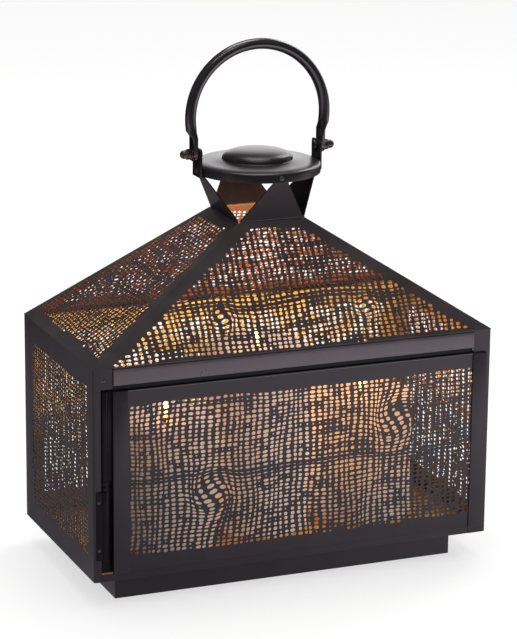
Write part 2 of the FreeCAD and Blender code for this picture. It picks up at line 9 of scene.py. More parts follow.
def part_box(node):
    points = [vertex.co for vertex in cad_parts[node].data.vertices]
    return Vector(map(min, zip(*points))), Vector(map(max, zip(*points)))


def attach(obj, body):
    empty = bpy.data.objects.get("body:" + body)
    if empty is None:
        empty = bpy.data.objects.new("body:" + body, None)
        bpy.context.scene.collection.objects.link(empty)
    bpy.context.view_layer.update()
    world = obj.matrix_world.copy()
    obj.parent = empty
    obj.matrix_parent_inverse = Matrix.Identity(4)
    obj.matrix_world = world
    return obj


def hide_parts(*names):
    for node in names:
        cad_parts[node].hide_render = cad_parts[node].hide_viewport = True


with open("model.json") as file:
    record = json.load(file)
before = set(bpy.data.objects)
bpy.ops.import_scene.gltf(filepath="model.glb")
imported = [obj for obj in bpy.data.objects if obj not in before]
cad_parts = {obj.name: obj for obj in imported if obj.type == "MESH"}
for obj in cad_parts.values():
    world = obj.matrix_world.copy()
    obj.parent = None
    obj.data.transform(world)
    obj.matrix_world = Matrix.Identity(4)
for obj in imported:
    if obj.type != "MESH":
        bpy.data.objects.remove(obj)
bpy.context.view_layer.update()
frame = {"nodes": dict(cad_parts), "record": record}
scene = bpy.context.scene
mm = 0.001
scene.view_settings.view_transform = "Standard"
print("frame loaded:", len(frame["nodes"]), "nodes")


class Wire:
    # One socket of a node tree. Sums and products of wires add their own Math nodes.
    def __init__(self, tree, socket=None):
        self.tree = tree
        self.socket = socket

    def make(self, kind, settings=None, inputs=None, output=0):
        node = self.tree.nodes.new(kind)
        for name, value in (settings or {}).items():
            if name == "stops":
                fillRamp(node.color_ramp, value)
            else:
                setattr(node, name, value)
        for name, value in (inputs or {}).items():
            if isinstance(value, Wire):
                self.tree.links.new(value.socket, node.inputs[name])
            else:
                node.inputs[name].default_value = value
        return Wire(self.tree, node.outputs[output] if node.outputs else None)

    def other(self, output):
        return Wire(self.tree, self.socket.node.outputs[output])

    def maths(self, operation, *values):
        return self.make("ShaderNodeMath", {"operation": operation}, dict(enumerate(values)))

    def __add__(self, value):
        return self.maths("ADD", self, value)

    def __radd__(self, value):
        return self.maths("ADD", value, self)

    def __sub__(self, value):
        return self.maths("SUBTRACT", self, value)

    def __rsub__(self, value):
        return self.maths("SUBTRACT", value, self)

    def __mul__(self, value):
        return self.maths("MULTIPLY", self, value)

    def __rmul__(self, value):
        return self.maths("MULTIPLY", value, self)

    def __truediv__(self, value):
        return self.maths("DIVIDE", self, value)

    def __pow__(self, value):
        return self.maths("POWER", self, value)

    def __neg__(self):
        return self.maths("MULTIPLY", self, -1.0)

    def __abs__(self):
        return self.maths("ABSOLUTE", self)

    def within(self, low, high):
        return self.maths("MINIMUM", self.maths("MAXIMUM", self, low), high)

    def step(self, low, high):
        # 0 below low, 1 above high, smooth between
        return self.make("ShaderNodeMapRange", {"interpolation_type": "SMOOTHSTEP"},
                         {"Value": self, "From Min": low, "From Max": high})

    def blend(self, dark, light):
        # one colour or the other by this wire
        return self.make("ShaderNodeMix", {"data_type": "RGBA"}, {0: self, 6: dark, 7: light}, 2)


def fillRamp(ramp, stops):
    while len(ramp.elements) < len(stops):
        ramp.elements.new(1.0)
    for element, (position, colour) in zip(ramp.elements, stops):
        element.position = position
        element.color = colour


def separated(start, vector):
    return start.make("ShaderNodeSeparateXYZ", inputs={0: vector})


def combined(start, *values):
    return start.make("ShaderNodeCombineXYZ", inputs=dict(enumerate(values)))


# Camera and light

def cameraSetup():
    view = {
        "place": (-0.7428, -1.80055, 0.7161),  # metres, in the part's frame
        "turn": 22.46,  # degrees to the right of straight ahead
        "dip": 15.38,
        "roll": 0.57,
        "lens": 153.48,  # millimetres, as the film
        "film": 36,
        "nearest": 0.05,
    }
    turn, dip, roll = (math.radians(view[name]) for name in ("turn", "dip", "roll"))
    ahead = Vector((math.sin(turn) * math.cos(dip), math.cos(turn) * math.cos(dip), -math.sin(dip)))
    level = Vector((math.cos(turn), -math.sin(turn), 0))
    upright = level.cross(ahead)
    right = level * math.cos(roll) + upright * math.sin(roll)
    up = upright * math.cos(roll) - level * math.sin(roll)
    lens = bpy.data.cameras.new("camera")
    lens.lens = view["lens"]
    lens.sensor_width = view["film"]
    lens.clip_start = view["nearest"]
    camera = bpy.data.objects.new("camera", lens)
    facing = Matrix((right, up, -ahead)).transposed().to_4x4()
    camera.matrix_world = Matrix.Translation(view["place"]) @ facing
    scene.collection.objects.link(camera)
    scene.camera = camera


def lamp(name, kind, place, power, colour, size, aim=(0, 0, 0.2), height=None):
    light = bpy.data.lights.new(name, kind)
    light.energy = power
    light.color = colour
    if kind == "AREA":
        light.shape = "RECTANGLE"
        light.size = size
        light.size_y = height or size
    else:
        light.shadow_soft_size = size
    holder = bpy.data.objects.new(name, light)
    holder.location = place
    holder.rotation_mode = "QUATERNION"
    holder.rotation_quaternion = (Vector(aim) - Vector(place)).to_track_quat("-Z", "Y")
    scene.collection.objects.link(holder)
    return holder


def rayKinds(start):
    # how far a ray is one that the camera sees by, and how far one that a shiny face mirrors
    rays = start.make("ShaderNodeLightPath", output="Is Camera Ray")
    seen = rays.maths("MINIMUM", rays + rays.other("Is Transmission Ray"), 1.0)
    return seen, rays.other("Is Glossy Ray")


def room():
    light = {
        "open": 0.80,  # the room's plain level for matt surfaces
        "dark": 0.07,  # its level in what shiny ones mirror
        "bank": 2.0,  # the pale wall behind, low and to the right, that lids and rims mirror
        "bankTurn": 42,  # degrees from straight behind towards the right
        "bankEdge": (0.74, 0.90),  # cosines from its middle, between which it fades in
        "bankHead": (0.34, 0.58),  # sines of the height, between which it fades out
        "front": 0.10,  # above and before the object, mirrored by the front slope
        "frontEdge": (0.2, 0.7),
        "frontFoot": (0.35, 0.6),
    }
    world = bpy.data.worlds.new("studio")
    scene.world = world
    world.use_nodes = True
    world.node_tree.nodes.clear()
    start = Wire(world.node_tree)
    way = separated(start, start.make("ShaderNodeTexCoord", output="Generated"))
    wayY, wayZ = way.other("Y"), way.other("Z")
    bankTurn = math.radians(light["bankTurn"])
    towards = way * math.sin(bankTurn) + wayY * math.cos(bankTurn)
    bank = towards.step(*light["bankEdge"]) * (1 - wayZ.step(*light["bankHead"])) * light["bank"]
    before = (-wayY).step(*light["frontEdge"]) * wayZ.step(*light["frontFoot"]) * light["front"]
    mirrored = bank + before + light["dark"]
    seen, shiny = rayKinds(start)
    plain = light["open"] + (mirrored - light["open"]) * shiny
    level = plain + (1 - plain) * seen
    backdrop = start.make("ShaderNodeBackground", inputs={0: (1, 1, 1, 1), 1: level})
    start.make("ShaderNodeOutputWorld", inputs={0: backdrop})


def whiteFloor():
    # Distances are in metres, before the object's middle or to its right
    light = {
        "reach": 6.0,
        "shade": 0.38,  # share of the floor's white that a shadow can take away
        "tint": (1, 0.91, 0.99, 1),  # of what shiny surfaces mirror
        "table": 1.2,  # the pale table before the object, mirrored by upright faces
        "tableStart": (-0.05, 0.09),
        "tableEnd": (0.80, 1.0),
        "paler": (0.05, 0.65),  # between these it rises from its least level by the gain
        "least": 0.55,
        "gain": 0.6,
        "palerRight": (-0.1, 0.35),
        "leastRight": 0.68,
        "gainRight": 0.6,
        "side": 0.22,  # the table beside and behind the object
        "sideStart": (-0.9, -0.5),
    }
    floorMesh = bpy.data.meshes.new("floor")
    reach = light["reach"]
    corners = [(-reach, -reach, 0), (reach, -reach, 0), (reach, reach, 0), (-reach, reach, 0)]
    floorMesh.from_pydata(corners, [], [(0, 1, 2, 3)])
    floor = bpy.data.objects.new("floor", floorMesh)
    scene.collection.objects.link(floor)
    paint, start = newFinish("floorWhite")
    spot = separated(start, start.make("ShaderNodeTexCoord", output="Object"))
    before = -spot.other("Y")
    onTable = before.step(*light["tableStart"])
    table = before.step(*light["paler"]) * light["gain"] + light["least"]
    table = table * (1 - before.step(*light["tableEnd"])) * onTable
    table = table * (spot.step(*light["palerRight"]) * light["gainRight"] + light["leastRight"])
    side = (1 - onTable) * before.step(*light["sideStart"])
    mirrored = table * light["table"] + side * light["side"]
    seen, shiny = rayKinds(start)
    shade = light["shade"]
    matt = start.make("ShaderNodeBsdfDiffuse", inputs={0: (shade, shade, shade, 1)})
    glow = start.make("ShaderNodeEmission", inputs={0: (1, 1, 1, 1), 1: seen * (1 - shade)})
    lit = start.make("ShaderNodeAddShader", inputs={0: matt, 1: glow})
    mirror = start.make("ShaderNodeEmission", inputs={0: light["tint"], 1: mirrored})
    both = start.make("ShaderNodeMixShader", inputs={0: shiny, 1: lit, 2: mirror})
    start.make("ShaderNodeOutputMaterial", inputs={0: both})
    floorMesh.materials.append(paint)


def studio():
    lamps = {
        "overhead": {"place": (0.1, 0.3, 1.9), "power": 12, "colour": (1, 0.98, 0.96), "size": 0.9},
        "right": {"place": (1.3, 0.9, 1.5), "power": 9, "colour": (1, 0.98, 0.97), "size": 0.7},
        "streak": {"place": (-0.3, -0.8, 1.6), "power": 2.5, "colour": (1, 0.97, 1), "size": 0.9,
                   "height": 0.12},
    }
    room()
    whiteFloor()
    for name, values in lamps.items():
        lamp(name, "AREA", **values)
    print("studio lit")


# Finishes

def newFinish(name):
    paint = bpy.data.materials.new(name)
    paint.use_nodes = True
    paint.node_tree.nodes.clear()
    return paint, Wire(paint.node_tree)


def noise(start, scale, detail=2.0, roughness=0.5, stretch=(1, 1, 1)):
    place = start.make("ShaderNodeTexCoord", output="Object")
    turned = start.make("ShaderNodeMapping", inputs={"Vector": place, "Scale": stretch})
    return start.make("ShaderNodeTexNoise", inputs={"Vector": turned, "Scale": scale, "Detail": detail,
                                                    "Roughness": roughness})


def finishWith(start, inputs, bump=None, depth=0.2 * mm, strength=0.4):
    if bump is not None:
        inputs["Normal"] = start.make("ShaderNodeBump", inputs={"Strength": strength, "Distance": depth,
                                                                "Height": bump})
    body = start.make("ShaderNodeBsdfPrincipled", inputs=inputs)
    start.make("ShaderNodeOutputMaterial", inputs={0: body})


def blackenedTin(name, deep, light, rough, grain=0.35, gloss=0.5, wear=1.0, sheen=(1, 1, 1, 1)):
    # Dark lacquer over tin: cloudy colour, a fine orange peel and faint rubbed scuffs
    paint, start = newFinish(name)
    cloud = noise(start, scale=26, detail=4, roughness=0.6).step(0.36, 0.66)
    fine = noise(start, scale=420, detail=3, roughness=0.6)
    scuff = noise(start, scale=60, detail=6, roughness=0.75, stretch=(1, 1, 0.35)).step(0.60, 0.72)
    colour = (cloud * 0.8 + scuff * 0.2 * wear).blend(deep, light)
    peel = fine * 0.5 + noise(start, scale=1500, detail=1) * 0.5
    finishWith(start, {
        "Base Color": colour,
        "Roughness": rough + (cloud * 0.06 + scuff * 0.10 + fine * 0.04) * wear,
        "Metallic": 0.0,
        "IOR": 1.55,
        "Specular IOR Level": gloss,
        "Specular Tint": sheen,
    }, bump=peel, depth=0.05 * mm, strength=grain)
    return paint


def copperedInside(name, deep, light, metal=0.0):
    # Matt coppery underside of the sheet, which the flames light. Its copies below differ in colour by
    # painted candlelight and painted shade.
    paint, start = newFinish(name)
    cloud = noise(start, scale=30, detail=4, roughness=0.6).step(0.35, 0.65)
    finishWith(start, {
        "Base Color": cloud.blend(deep, light),
        "Roughness": 0.42 + cloud * 0.12,
        "Metallic": metal,
        "Specular IOR Level": 0.15,
    }, bump=noise(start, scale=500, detail=2), depth=0.05 * mm, strength=0.3)
    return paint


def waxPaintedCandlelit(name, flame, candle):
    # Ivory wax with painted candlelight in its emission: it glows dimly all over, and warmly down to some way
    # under its flame, with painted shade towards its left side
    glow = {
        "paintedGlow": (0.50, 0.405, 0.36),
        "halfWidth": 39.2 * mm,  # of a pillar, to the left of the wick, where its shade is deepest
        "flameEnd": 10 * mm,
        "ragged": 12 * mm,  # how far the warm glow's edge wanders
        "strength": 0.55,
    }
    paint, start = newFinish(name)
    place = start.make("ShaderNodeTexCoord", output="Object")
    far = start.make("ShaderNodeVectorMath", {"operation": "DISTANCE"}, {0: place, 1: flame}, "Value")
    cloud = noise(start, scale=18, detail=3, roughness=0.55).step(0.3, 0.7)
    mottle = noise(start, scale=160, detail=3, roughness=0.6)
    near = 1 - (far + cloud * glow["ragged"]).step(glow["flameEnd"], candle["reach"])
    clear = tuple(part * candle["level"] for part in glow["paintedGlow"]) + (1,)
    across = (separated(start, place) - flame[0]) / glow["halfWidth"]
    paintedGlow = across.step(-1.0, candle["paintedShadeClearsAt"]).blend(candle["shaded"], clear)
    finishWith(start, {
        "Base Color": cloud.blend((0.80, 0.70, 0.58, 1), (0.90, 0.82, 0.72, 1)),
        "Roughness": 0.38 + mottle * 0.16,
        "Subsurface Weight": 0.35,
        "Subsurface Radius": (0.012, 0.006, 0.003),
        "Emission Color": near.blend(paintedGlow, candle["warm"]),
        "Emission Strength": glow["strength"],
    }, bump=mottle, depth=0.4 * mm, strength=0.35)
    return paint


def wickFinish():
    paint, start = newFinish("wick")
    strands = noise(start, scale=900, detail=2, stretch=(1, 1, 0.25))
    finishWith(start, {
        "Base Color": strands.step(0.35, 0.65).blend((0.015, 0.012, 0.010, 1), (0.09, 0.07, 0.055, 1)),
        "Roughness": 0.9,
    }, bump=strands, depth=0.4 * mm, strength=0.6)
    return paint


def flameFinish(foot, height):
    # orange at its foot and tip, pale yellow between
    stops = [(0.0, (1.0, 0.42, 0.10, 1)), (0.3, (1.0, 0.78, 0.36, 1)), (1.0, (1.0, 0.55, 0.16, 1))]
    paint, start = newFinish("flame")
    level = separated(start, start.make("ShaderNodeTexCoord", output="Object")).other("Z")
    share = ((level - foot) / height).step(0.0, 1.0)
    finishWith(start, {
        "Base Color": (1.0, 0.72, 0.3, 1),
        "Roughness": 0.5,
        "Emission Color": share.make("ShaderNodeValToRGB", {"stops": stops}, {0: share}),
        "Emission Strength": 2.2,
    })
    return paint


def magnetFinish():
    paint, start = newFinish("magnet")
    grit = noise(start, scale=700, detail=3, roughness=0.7)
    finishWith(start, {
        "Base Color": grit.step(0.4, 0.65).blend((0.03, 0.03, 0.032, 1), (0.07, 0.07, 0.075, 1)),
        "Roughness": 0.7,
        "Metallic": 0.4,
    }, bump=grit)
    return paint


# Making and joining meshes

mergeReach = 0.001 * mm
cutReach = 0.0001 * mm
leastTurn = 0.0001  # radians, under which a corner isn't a bend


def newObject(name, mesh):
    made = bpy.data.objects.new(name, mesh)
    scene.collection.objects.link(made)
    return made


def evaluated(holder):
    # the mesh that its modifiers give, with the helper object removed
    bpy.context.view_layer.update()
    mesh = bpy.data.meshes.new_from_object(holder.evaluated_get(bpy.context.evaluated_depsgraph_get()))
    bpy.data.objects.remove(holder)
    return mesh


def joined(name, meshes):
    whole = bmesh.new()
    slots = []
    for mesh in meshes:
        for paint in mesh.materials:
            if paint not in slots:
                slots.append(paint)
    for mesh in meshes:
        first = len(whole.faces)
        whole.from_mesh(mesh)
        whole.faces.ensure_lookup_table()
        places = [slots.index(paint) for paint in mesh.materials] or [0]
        for face in whole.faces[first:]:
            face.material_index = places[min(face.material_index, len(places) - 1)]
    result = bpy.data.meshes.new(name)
    whole.to_mesh(result)
    whole.free()
    for paint in slots:
        result.materials.append(paint)
    return result


def smooth(mesh, degrees=35):
    mesh.shade_smooth()
    mesh.set_sharp_from_angle(angle=math.radians(degrees))


def setOut(name, mesh, body, nodes):
    made = newObject(name, mesh)
    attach(made, body)
    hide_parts(*nodes)


def foldedPlate(name, corners, spans, bend, depth, toWorld, paints, steps=6):
    # Sheet bent along a path. corners run along its outer face, which is on their left, and spans give how
    # far it reaches to each side at each corner. bend is the inner radius, and toWorld places (a, b, w).
    stations = []
    path = [Vector(corner) for corner in corners]
    for i, corner in enumerate(path):
        before = (corner - path[i - 1]).normalized() if i else (path[1] - corner).normalized()
        ahead = (path[i + 1] - corner).normalized() if i + 1 < len(path) else before
        turn = math.atan2(before.x * ahead.y - before.y * ahead.x, before.dot(ahead))
        normal = Vector((-before.y, before.x))
        if abs(turn) < leastTurn:
            stations.append((corner, normal, spans[i]))
            continue
        radius = bend + (depth if turn < 0 else 0)  # the outer face's, where the bend is outwards
        reach = radius * math.tan(abs(turn) / 2)
        centre = corner - before * reach + normal * radius * math.copysign(1, turn)
        for step in range(steps + 1):
            spin = Matrix.Rotation(turn * step / steps, 2)
            stations.append((centre + spin @ (corner - before * reach - centre), spin @ normal, spans[i]))
    points, faces, sides = [], [], []
    for place, normal, (low, high) in stations:
        for spot in (place, place - normal * depth):
            points += [toWorld(spot.x, spot.y, low), toWorld(spot.x, spot.y, high)]
    for i in range(len(stations) - 1):
        a, b = 4 * i, 4 * i + 4
        faces += [(a, a + 1, b + 1, b), (a + 2, b + 2, b + 3, a + 3)]
        faces += [(a, b, b + 2, a + 2), (a + 1, a + 3, b + 3, b + 1)]
        sides += [0, 1, 0, 0]
    last = 4 * (len(stations) - 1)
    faces += [(0, 2, 3, 1), (last, last + 1, last + 3, last + 2)]
    sides += [0, 0]
    mesh = bpy.data.meshes.new(name)
    mesh.from_pydata(points, [], faces)
    for paint in paints:
        mesh.materials.append(paint)
    mesh.polygons.foreach_set("material_index", sides)
    shell = bmesh.new()
    shell.from_mesh(mesh)
    bmesh.ops.recalc_face_normals(shell, faces=shell.faces)
    shell.to_mesh(mesh)
    shell.free()
    smooth(mesh)
    return mesh


def plainBox(low, high, paint):
    shell = bmesh.new()
    bmesh.ops.create_cube(shell, size=1.0)
    size = Vector(high) - Vector(low)
    bmesh.ops.scale(shell, vec=size, verts=shell.verts)
    bmesh.ops.translate(shell, vec=Vector(low) + size / 2, verts=shell.verts)
    mesh = bpy.data.meshes.new("box")
    shell.to_mesh(mesh)
    shell.free()
    mesh.materials.append(paint)
    return mesh


def spun(name, outline, steps, paint, centre, degrees=30):
    # Solid of revolution. outline is a closed list of (radius, level), or runs from axis to axis.
    count = len(outline)
    points = []
    for step in range(steps):
        angle = 2 * math.pi * step / steps
        across, along = math.cos(angle), math.sin(angle)
        points += [(centre[0] + radius * across, centre[1] + radius * along, z) for radius, z in outline]
    closed = outline[0][0] > 0 or outline[-1][0] > 0
    faces = []
    for step in range(steps):
        a, b = step * count, (step + 1) % steps * count
        for i in range(count if closed else count - 1):
            j = (i + 1) % count
            faces.append((a + i, b + i, b + j, a + j))
    mesh = bpy.data.meshes.new(name)
    mesh.from_pydata(points, [], faces)
    shell = bmesh.new()
    shell.from_mesh(mesh)
    bmesh.ops.remove_doubles(shell, verts=shell.verts, dist=mergeReach)
    bmesh.ops.recalc_face_normals(shell, faces=shell.faces)
    shell.to_mesh(mesh)
    shell.free()
    mesh.materials.append(paint)
    smooth(mesh, degrees)
    return mesh


def softened(node, width, paint, sharp=32):
    # A CAD piece with its doubles merged and its hard edges rolled a little, as folded or turned metal has
    flat = math.radians(0.5)
    shell = bmesh.new()
    shell.from_mesh(frame["nodes"][node].data)
    bmesh.ops.remove_doubles(shell, verts=shell.verts, dist=2 * mergeReach)
    bmesh.ops.dissolve_limit(shell, angle_limit=flat, verts=shell.verts, edges=shell.edges)
    if width:
        hard = [edge for edge in shell.edges if len(edge.link_faces) == 2
                and edge.calc_face_angle(0) > math.radians(sharp)]
        bmesh.ops.bevel(shell, geom=hard, offset=width, offset_type="OFFSET", segments=2, profile=0.6,
                        affect="EDGES", clamp_overlap=True)
    mesh = bpy.data.meshes.new(node)
    shell.to_mesh(mesh)
    shell.free()
    mesh.materials.clear()
    mesh.materials.append(paint)
    mesh.polygons.foreach_set("material_index", [0] * len(mesh.polygons))
    smooth(mesh, sharp)
    return mesh


# The punched pattern: a skin-like grid of small rounded holes, drawn out, pinched and turned as it goes

pattern = {
    "pitchAcross": 4.65 * mm,
    "pitchUp": 3.15 * mm,
    "wander": 4.4 * mm,
    "stretch": 1.08,  # how much taller than wide a hole is, against its cell
    "corners": 12,  # of one hole
    "thickness": 0.4 * mm,
    "spareCells": 4,  # past each edge, which the sway brings in
    "whorlSize": 6 * mm,
    "rim": 2 * mm,  # nearer to a sheet's outline than this, a cut edge has the outer paint
}

# Smooth fields: the lengths across and up over which each changes, and what sets its seed apart
fields = {
    "broad": (44 * mm, 52 * mm, 0.0),
    "column": (11 * mm, 70 * mm, 7.3),
    "row": (60 * mm, 9 * mm, 13.9),
    "patch": (17 * mm, 13 * mm, 21.7),
    "vein": (24 * mm, 15 * mm, 31.1),
}

# The sway, in shares of the wander, and what a whorl does at its middle
sway = {
    "broadAcross": 0.55, "broadUp": 0.42, "column": 0.36, "row": 0.11,
    "whorlTurn": 0.55, "whorlWiden": 0.75, "whorlHeighten": 0.45, "whorlFlat": 0.6,
}

# One hole. Pairs are across and up, and sizes are shares of its cell or of an even hole.
hole = {
    "radius": 0.35,
    "evenShare": 0.7,  # the sheet's hole share at which that radius holds
    "ownReach": 0.45,  # points this near to the cell's middle are the hole's
    "clear": 0.18,  # from its middle to the border
    "patch": (0.24, 0.16),
    "chance": (0.28, 0.24),
    "least": 0.32,
    "most": (1.24, 1.20),
    "squarePower": 3.0,
    "leastSquare": 0.15,
    "squareChance": 0.6,
    "tilt": 0.22,  # radians
    "nudge": 0.16,
    "veinShare": 0.42,  # to which holes shrink along a vein
    "veinWidth": 0.15,  # in the field's own units
    "creaseDepth": 0.78,
    "creaseWidth": 2.6 * mm,
    "creaseWave": 1.6 * mm,
    "creaseTurns": 55.0,  # radians a metre
}


def chances(start, *values):
    # three even chances of its own for each cell
    return separated(start, start.make("ShaderNodeTexWhiteNoise", inputs={"Vector": combined(start, *values)},
                                       output="Color"))


def fieldPair(start, x, y, kind, seed):
    # two smooth fields of their own, spread to run from about -1 to 1
    lengthX, lengthY, apart = fields[kind]
    spread = 3.2
    place = combined(start, x / lengthX, y / lengthY, seed + apart)
    colour = start.make("ShaderNodeTexNoise", inputs={"Vector": place, "Scale": 1.0, "Detail": 0.0},
                        output="Color")
    split = separated(start, colour)
    return (split - 0.5) * spread, (split.other("Y") - 0.5) * spread


def wandered(start, x, y, given):
    # where a point of the even grid ends up: the whole grid sways, and opens and turns at two whorls
    seed, wander = given["Seed"], given["Wander"]
    broadX, broadY = fieldPair(start, x, y, "broad", seed)
    columnX = fieldPair(start, x, y, "column", seed)[0]
    rowY = fieldPair(start, x, y, "row", seed)[1]
    x = x + wander * (broadX * sway["broadAcross"] + columnX * sway["column"])
    y = y + wander * (broadY * sway["broadUp"] + rowY * sway["row"])
    for name in ("Whorl A", "Whorl B"):
        middle = separated(start, given[name])
        dx, dy = x - middle, y - middle.other("Y")
        far = (dx * dx + dy * dy * sway["whorlFlat"]) / given["Whorl Size"] ** 2.0
        near = start.maths("EXPONENT", -far)
        turn = near * sway["whorlTurn"]
        cos, sin = start.maths("COSINE", turn), start.maths("SINE", turn)
        x = x + (dx * cos - dy * sin) * (1 + near * sway["whorlWiden"]) - dx
        y = y + (dx * sin + dy * cos) * (1 + near * sway["whorlHeighten"]) - dy
    return x, y


def laidCells(start, given):
    # One middle point for each cell of the even grid, with an open cell or a plain one laid on it
    pitchX, pitchY = given["Pitch Across"], given["Pitch Up"]
    points = start.make("GeometryNodeMeshGrid", inputs={
        "Size X": pitchX * (given["Columns"] - 1.0), "Size Y": pitchY * (given["Rows"] - 1.0),
        "Vertices X": given["Columns"], "Vertices Y": given["Rows"]}, output="Mesh")
    spot = separated(start, start.make("GeometryNodeInputPosition"))
    x, y = wandered(start, spot, spot.other("Y"), given)
    leaning = y * given["Lean"]
    inX = start.maths("MINIMUM", x - given["Left"] - leaning, given["Right"] - leaning - x)
    inY = start.maths("MINIMUM", y - given["Foot"], given["Head"] - y)
    inside = start.maths("MINIMUM", inX - pitchX * hole["clear"], inY - pitchY * hole["clear"])
    punched = start.maths("GREATER_THAN", inside, 0.0)

    square = start.make("GeometryNodeCurvePrimitiveQuadrilateral", inputs={"Width": pitchX, "Height": pitchY})
    ring = start.make("GeometryNodeCurvePrimitiveCircle", inputs={"Resolution": given["Corners"],
                                                                  "Radius": hole["radius"]})
    size = combined(start, pitchX, pitchY, 1.0)
    ring = start.make("GeometryNodeTransform", inputs={"Geometry": ring, "Scale": size})
    pair = start.make("GeometryNodeJoinGeometry")
    for curve in (square, ring):
        start.tree.links.new(curve.socket, pair.socket.node.inputs[0])
    cells = start.make("GeometryNodeJoinGeometry")
    for outline, chosen in ((pair, punched), (square, 1.0 - punched)):
        face = start.make("GeometryNodeFillCurve", inputs={"Curve": outline})
        laid = start.make("GeometryNodeInstanceOnPoints", inputs={"Points": points, "Selection": chosen,
                                                                  "Instance": face})
        start.tree.links.new(laid.socket, cells.socket.node.inputs[0])
    whole = start.make("GeometryNodeRealizeInstances", inputs={"Geometry": cells})
    return start.make("GeometryNodeMergeByDistance", inputs={"Geometry": whole, "Distance": 0.02 * mm})


def shapedPlace(start, given):
    # Each hole gets its own size, squareness and tilt about its cell's middle, and then the grid sways
    pitchX, pitchY = given["Pitch Across"], given["Pitch Up"]
    rawX = separated(start, start.make("GeometryNodeInputPosition"))
    rawY = rawX.other("Y")
    left, foot = pitchX * given["Columns"] * -0.5, pitchY * given["Rows"] * -0.5
    column = start.maths("FLOOR", (rawX - left) / pitchX) + 0.5
    row = start.maths("FLOOR", (rawY - foot) / pitchY) + 0.5
    midX, midY = left + column * pitchX, foot + row * pitchY
    dx, dy = rawX - midX, rawY - midY
    furthest = start.maths("MAXIMUM", abs(dx) / pitchX, abs(dy) / pitchY)
    onHole = start.maths("LESS_THAN", furthest, hole["ownReach"])

    chance = chances(start, column, row, given["Seed"])
    nudge = chances(start, row, column, given["Seed"])
    patchX, patchY = fieldPair(start, midX, midY, "patch", given["Seed"])
    vein, tilt = fieldPair(start, midX, midY, "vein", given["Seed"])
    bare = abs(vein).step(0.0, hole["veinWidth"]) * (1 - hole["veinShare"]) + hole["veinShare"]
    wave = start.maths("SINE", midX * hole["creaseTurns"]) * hole["creaseWave"]
    offCrease = (midY - given["Crease"] - wave) / hole["creaseWidth"]
    crease = start.maths("EXPONENT", -(offCrease ** 2.0))
    share = given["Hole Share"] / hole["evenShare"] * bare
    ownX = 1 + patchX * hole["patch"][0] + (chance - 0.5) * hole["chance"][0]
    ownY = 1 + patchY * hole["patch"][1] + (chance.other("Y") - 0.5) * hole["chance"][1]
    wide = (share / given["Stretch"] * ownX).within(hole["least"], hole["most"][0])
    tall = share * given["Stretch"] * ownY * (1 - crease * hole["creaseDepth"])
    tall = tall.within(hole["least"], hole["most"][1])
    unitX, unitY = dx / (pitchX * hole["radius"]), dy / (pitchY * hole["radius"])
    power = hole["squarePower"]
    squared = (abs(unitX) ** power + abs(unitY) ** power) ** (-1 / power)
    rounded = 1 + (squared - 1) * (hole["leastSquare"] + chance.other("Z") * hole["squareChance"])
    lean = tilt * hole["tilt"]
    cos, sin = start.maths("COSINE", lean), start.maths("SINE", lean)
    ownX, ownY = dx * wide * rounded, dy * tall * rounded
    holeX = midX + ownX * cos - ownY * sin + (nudge - 0.5) * pitchX * hole["nudge"]
    holeY = midY + ownX * sin + ownY * cos + (nudge.other("Y") - 0.5) * pitchY * hole["nudge"]
    x, y = wandered(start, rawX + (holeX - rawX) * onHole, rawY + (holeY - rawY) * onHole, given)
    leaning = y * given["Lean"]
    keptX = x.within(given["Left"] + leaning, given["Right"] - leaning)
    keptY = y.within(given["Foot"], given["Head"])
    return combined(start, x + (keptX - x) * onHole, y + (keptY - y) * onHole)


def punchedTree():
    tree = bpy.data.node_groups.new("punchedSheet", "GeometryNodeTree")
    kinds = {
        "Columns": "Int", "Rows": "Int", "Pitch Across": "Float", "Pitch Up": "Float", "Hole Share": "Float",
        "Stretch": "Float", "Wander": "Float", "Left": "Float", "Right": "Float", "Foot": "Float",
        "Head": "Float", "Lean": "Float", "Crease": "Float", "Whorl A": "Vector", "Whorl B": "Vector",
        "Whorl Size": "Float", "Seed": "Float", "Corners": "Int", "Finish": "Material",
    }
    for name, kind in kinds.items():
        tree.interface.new_socket(name=name, in_out="INPUT", socket_type="NodeSocket" + kind)
    tree.interface.new_socket(name="Sheet", in_out="OUTPUT", socket_type="NodeSocketGeometry")
    start = Wire(tree)
    entry = start.make("NodeGroupInput")
    given = {name: entry.other(name) for name in kinds}
    cells = laidCells(start, given)
    whole = start.make("GeometryNodeSetPosition", inputs={"Geometry": cells,
                                                          "Position": shapedPlace(start, given)})
    whole = start.make("GeometryNodeRealizeInstances", inputs={"Geometry": whole})
    whole = start.make("GeometryNodeSetMaterial", inputs={"Geometry": whole, "Material": given["Finish"]})
    start.make("NodeGroupOutput", inputs={0: whole})
    return tree


